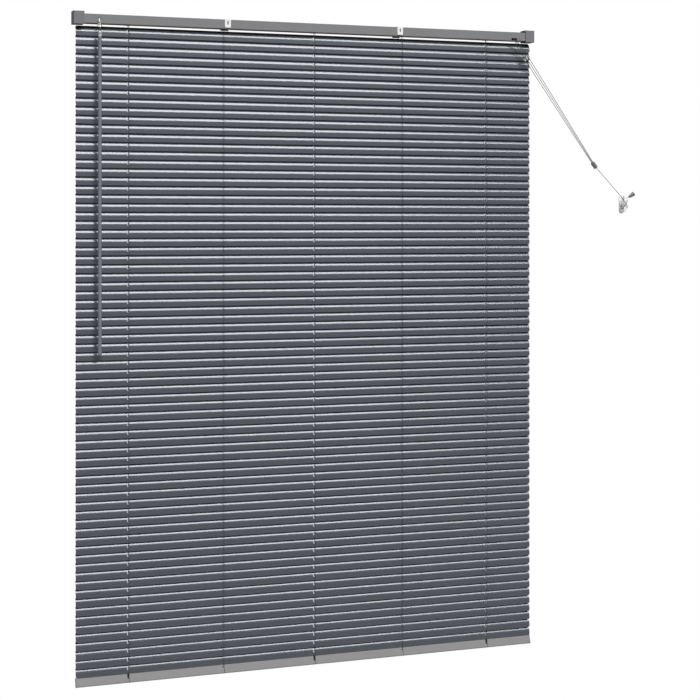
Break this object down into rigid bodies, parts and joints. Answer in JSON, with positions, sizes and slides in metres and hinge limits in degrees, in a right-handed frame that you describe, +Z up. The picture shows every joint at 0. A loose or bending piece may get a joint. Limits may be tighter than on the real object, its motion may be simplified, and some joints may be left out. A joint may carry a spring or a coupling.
{
  "type": "venetian blind",
  "caption": "Grey aluminium venetian blind, closed, in box brackets with a headrail, tilt wand, ladder and lift cords, bottom rail and pull cords wound on a wall cleat.",
  "frame": {"origin": "centre of the four wall screw holes of the box brackets, on the wall's face", "axes": "+X along the headrail to the pull-cord end, -Y out of the wall to the room, +Z up"},
  "size_m": [1.5145, 0.0388, 1.5973],
  "materials": {
    "rail_paint": "satin grey coat on steel",
    "bracket_paint": "satin grey coat on steel",
    "bottom_paint": "satin grey coat on steel",
    "white_paint": "smooth white coat",
    "slat_paint": "satin dark grey coat on thin aluminium",
    "bare_steel": "bright drawn steel",
    "grey_plastic": "moulded grey",
    "gear_plastic": "moulded off-white",
    "light_plastic": "moulded pale grey",
    "wand_plastic": "smooth grey, slightly clear",
    "cord": "braided dark cord"
  },
  "bodies": {
    "head": {"headrail": "rail_paint", "rail_end_plugs": "grey_plastic", "bracket_left": "bracket_paint", "bracket_right": "bracket_paint", "gate_pins": "bare_steel", "centre_brackets": "white_paint", "tilter_housing": "grey_plastic", "drum_cradles": "grey_plastic", "cord_lock_body": "grey_plastic", "cord_lock_pins": "bare_steel", "lift_cords": "cord", "pull_cord_1": "cord", "pull_cord_2": "cord", "pull_cord_3": "cord", "pull_cord_tail": "cord", "cord_stops": "light_plastic", "cord_joiner": "light_plastic", "tassel": "light_plastic", "wall_cleat": "light_plastic"},
    "gate_left": {"gate_left": "bracket_paint"},
    "gate_right": {"gate_right": "bracket_paint"},
    "worm": {"tilter_worm": "gear_plastic"},
    "tilt_shaft": {"tilt_rod": "bare_steel", "worm_wheel": "gear_plastic", "ladder_drums": "gear_plastic"},
    "lock_cam": {"cord_lock_cam": "bare_steel"},
    "wand_hook": {"wand_hook": "bare_steel"},
    "wand": {"wand_head": "light_plastic", "wand_rod": "wand_plastic", "wand_tip": "light_plastic"},
    "lift_ends": {"lift_cord_crimps": "bare_steel"},
    "bottom_rail": {"bottom_rail": "bottom_paint", "bottom_caps": "grey_plastic", "bottom_plugs": "grey_plastic"},
    "slats_01": {"slats_01": "slat_paint"},
    "slats_02": {"slats_02": "slat_paint"},
    "slats_03": {"slats_03": "slat_paint"},
    "slats_04": {"slats_04": "slat_paint"},
    "slats_05": {"slats_05": "slat_paint"},
    "slats_06": {"slats_06": "slat_paint"},
    "slats_07": {"slats_07": "slat_paint"},
    "slats_08": {"slats_08": "slat_paint"},
    "slats_09": {"slats_09": "slat_paint"},
    "slats_10": {"slats_10": "slat_paint"},
    "slats_11": {"slats_11": "slat_paint"},
    "slats_12": {"slats_12": "slat_paint"},
    "ladders_01": {"ladders_01": "cord"},
    "ladders_02": {"ladders_02": "cord"},
    "ladders_03": {"ladders_03": "cord"},
    "ladders_04": {"ladders_04": "cord"},
    "ladders_05": {"ladders_05": "cord"},
    "ladders_06": {"ladders_06": "cord"},
    "ladders_07": {"ladders_07": "cord"},
    "ladders_08": {"ladders_08": "cord"},
    "ladders_09": {"ladders_09": "cord"},
    "ladders_10": {"ladders_10": "cord"},
    "ladders_11": {"ladders_11": "cord"},
    "ladders_12": {"ladders_12": "cord"}
  },
  "joints": [
    {"name": "gate_left_swing", "type": "hinge", "parent": "head", "child": "gate_left", "pos_m": [-0.5925, -0.0292, 0.0127], "axis": [-1, 0, 0], "range_deg": [0, 100]},
    {"name": "gate_right_swing", "type": "hinge", "parent": "head", "child": "gate_right", "pos_m": [0.5925, -0.0292, 0.0127], "axis": [-1, 0, 0], "range_deg": [0, 100]},
    {"name": "wand_turn", "type": "hinge", "parent": "head", "child": "wand_hook", "pos_m": [-0.544, -0.034, -0.01306], "axis": [0, 0, -1], "range_deg": [0, 1008]},
    {"name": "wand_swing", "type": "hinge", "parent": "wand_hook", "child": "wand", "pos_m": [-0.544, -0.034, -0.03446], "axis": [-1, 0, 0], "range_deg": [0, 80]},
    {"name": "worm_turn", "type": "hinge", "parent": "head", "child": "worm", "pos_m": [-0.544, -0.02288, 0.00282], "axis": [0, -0.5736, -0.8192], "range_deg": [0, 1008]},
    {"name": "shaft_turn", "type": "hinge", "parent": "head", "child": "tilt_shaft", "pos_m": [-0.544, -0.016, -0.002], "axis": [-1, 0, 0], "range_deg": [0, 72]},
    {"name": "lock_cam_turn", "type": "hinge", "parent": "head", "child": "lock_cam", "pos_m": [0.559, -0.02, -0.0085], "axis": [0, 0, 1], "range_deg": [0, 35]},
    {"name": "lift", "type": "slide", "parent": "head", "child": "lift_ends", "axis": [0, 0, 1], "range_m": [0, 1.388], "deforming": ["lift_cords"]},
    {"name": "bottom_rail_tilt", "type": "hinge", "parent": "lift_ends", "child": "bottom_rail", "pos_m": [0, -0.016, -1.57016], "axis": [-1, 0, 0], "range_deg": [0, 72]},
    {"name": "slat_tilt", "type": "slide", "parent": "head", "child": "slats_01", "axis": [0, -0.5878, 0.809], "range_m": [0, 0.01557], "deforming": ["slats_01", "slats_02", "slats_03", "slats_04", "slats_05", "slats_06", "slats_07", "slats_08", "slats_09", "slats_10", "slats_11", "slats_12", "ladders_01", "ladders_02", "ladders_03", "ladders_04", "ladders_05", "ladders_06", "ladders_07", "ladders_08", "ladders_09", "ladders_10", "ladders_11", "ladders_12"]},
    {"name": "slats_01_rear", "type": "slide", "parent": "slats_01", "child": "ladders_01", "axis": [0, 0.5878, -0.809], "range_m": [0, 0.03113]},
    {"name": "slats_02_lift", "type": "slide", "parent": "slats_01", "child": "slats_02", "axis": [0, 0, 1], "range_m": [0, 0.1438]},
    {"name": "slats_02_rear", "type": "slide", "parent": "slats_02", "child": "ladders_02", "axis": [0, 0.5878, -0.809], "range_m": [0, 0.03113]},
    {"name": "slats_03_lift", "type": "slide", "parent": "slats_01", "child": "slats_03", "axis": [0, 0, 1], "range_m": [0, 0.28759]},
    {"name": "slats_03_rear", "type": "slide", "parent": "slats_03", "child": "ladders_03", "axis": [0, 0.5878, -0.809], "range_m": [0, 0.03113]},
    {"name": "slats_04_lift", "type": "slide", "parent": "slats_01", "child": "slats_04", "axis": [0, 0, 1], "range_m": [0, 0.4106]},
    {"name": "slats_04_rear", "type": "slide", "parent": "slats_04", "child": "ladders_04", "axis": [0, 0.5878, -0.809], "range_m": [0, 0.03113]},
    {"name": "slats_05_lift", "type": "slide", "parent": "slats_01", "child": "slats_05", "axis": [0, 0, 1], "range_m": [0, 0.53361]},
    {"name": "slats_05_rear", "type": "slide", "parent": "slats_05", "child": "ladders_05", "axis": [0, 0.5878, -0.809], "range_m": [0, 0.03113]},
    {"name": "slats_06_lift", "type": "slide", "parent": "slats_01", "child": "slats_06", "axis": [0, 0, 1], "range_m": [0, 0.65662]},
    {"name": "slats_06_rear", "type": "slide", "parent": "slats_06", "child": "ladders_06", "axis": [0, 0.5878, -0.809], "range_m": [0, 0.03113]},
    {"name": "slats_07_lift", "type": "slide", "parent": "slats_01", "child": "slats_07", "axis": [0, 0, 1], "range_m": [0, 0.77963]},
    {"name": "slats_07_rear", "type": "slide", "parent": "slats_07", "child": "ladders_07", "axis": [0, 0.5878, -0.809], "range_m": [0, 0.03113]},
    {"name": "slats_08_lift", "type": "slide", "parent": "slats_01", "child": "slats_08", "axis": [0, 0, 1], "range_m": [0, 0.90263]},
    {"name": "slats_08_rear", "type": "slide", "parent": "slats_08", "child": "ladders_08", "axis": [0, 0.5878, -0.809], "range_m": [0, 0.03113]},
    {"name": "slats_09_lift", "type": "slide", "parent": "slats_01", "child": "slats_09", "axis": [0, 0, 1], "range_m": [0, 1.02564]},
    {"name": "slats_09_rear", "type": "slide", "parent": "slats_09", "child": "ladders_09", "axis": [0, 0.5878, -0.809], "range_m": [0, 0.03113]},
    {"name": "slats_10_lift", "type": "slide", "parent": "slats_01", "child": "slats_10", "axis": [0, 0, 1], "range_m": [0, 1.14865]},
    {"name": "slats_10_rear", "type": "slide", "parent": "slats_10", "child": "ladders_10", "axis": [0, 0.5878, -0.809], "range_m": [0, 0.03113]},
    {"name": "slats_11_lift", "type": "slide", "parent": "slats_01", "child": "slats_11", "axis": [0, 0, 1], "range_m": [0, 1.27165]},
    {"name": "slats_11_rear", "type": "slide", "parent": "slats_11", "child": "ladders_11", "axis": [0, 0.5878, -0.809], "range_m": [0, 0.03113]},
    {"name": "slats_12_lift", "type": "slide", "parent": "slats_01", "child": "slats_12", "axis": [0, 0, 1], "range_m": [0, 1.39466]},
    {"name": "slats_12_rear", "type": "slide", "parent": "slats_12", "child": "ladders_12", "axis": [0, 0.5878, -0.809], "range_m": [0, 0.03113]}
  ],
  "couplings": [
    {"joint": "wand_turn", "follows": "slat_tilt", "rad_per_m": 1130.2},
    {"joint": "worm_turn", "follows": "slat_tilt", "rad_per_m": 1130.2},
    {"joint": "shaft_turn", "follows": "slat_tilt", "rad_per_m": 80.73},
    {"joint": "bottom_rail_tilt", "follows": "slat_tilt", "rad_per_m": 80.73},
    {"joint": "slats_01_rear", "follows": "slat_tilt", "ratio": 2},
    {"joint": "slats_02_lift", "follows": "lift", "ratio": 0.1036},
    {"joint": "slats_02_rear", "follows": "slat_tilt", "ratio": 2},
    {"joint": "slats_03_lift", "follows": "lift", "ratio": 0.2072},
    {"joint": "slats_03_rear", "follows": "slat_tilt", "ratio": 2},
    {"joint": "slats_04_lift", "follows": "lift", "ratio": 0.29582},
    {"joint": "slats_04_rear", "follows": "slat_tilt", "ratio": 2},
    {"joint": "slats_05_lift", "follows": "lift", "ratio": 0.38445},
    {"joint": "slats_05_rear", "follows": "slat_tilt", "ratio": 2},
    {"joint": "slats_06_lift", "follows": "lift", "ratio": 0.47307},
    {"joint": "slats_06_rear", "follows": "slat_tilt", "ratio": 2},
    {"joint": "slats_07_lift", "follows": "lift", "ratio": 0.56169},
    {"joint": "slats_07_rear", "follows": "slat_tilt", "ratio": 2},
    {"joint": "slats_08_lift", "follows": "lift", "ratio": 0.65031},
    {"joint": "slats_08_rear", "follows": "slat_tilt", "ratio": 2},
    {"joint": "slats_09_lift", "follows": "lift", "ratio": 0.73893},
    {"joint": "slats_09_rear", "follows": "slat_tilt", "ratio": 2},
    {"joint": "slats_10_lift", "follows": "lift", "ratio": 0.82756},
    {"joint": "slats_10_rear", "follows": "slat_tilt", "ratio": 2},
    {"joint": "slats_11_lift", "follows": "lift", "ratio": 0.91618},
    {"joint": "slats_11_rear", "follows": "slat_tilt", "ratio": 2},
    {"joint": "slats_12_lift", "follows": "lift", "ratio": 1.0048},
    {"joint": "slats_12_rear", "follows": "slat_tilt", "ratio": 2}
  ]
}
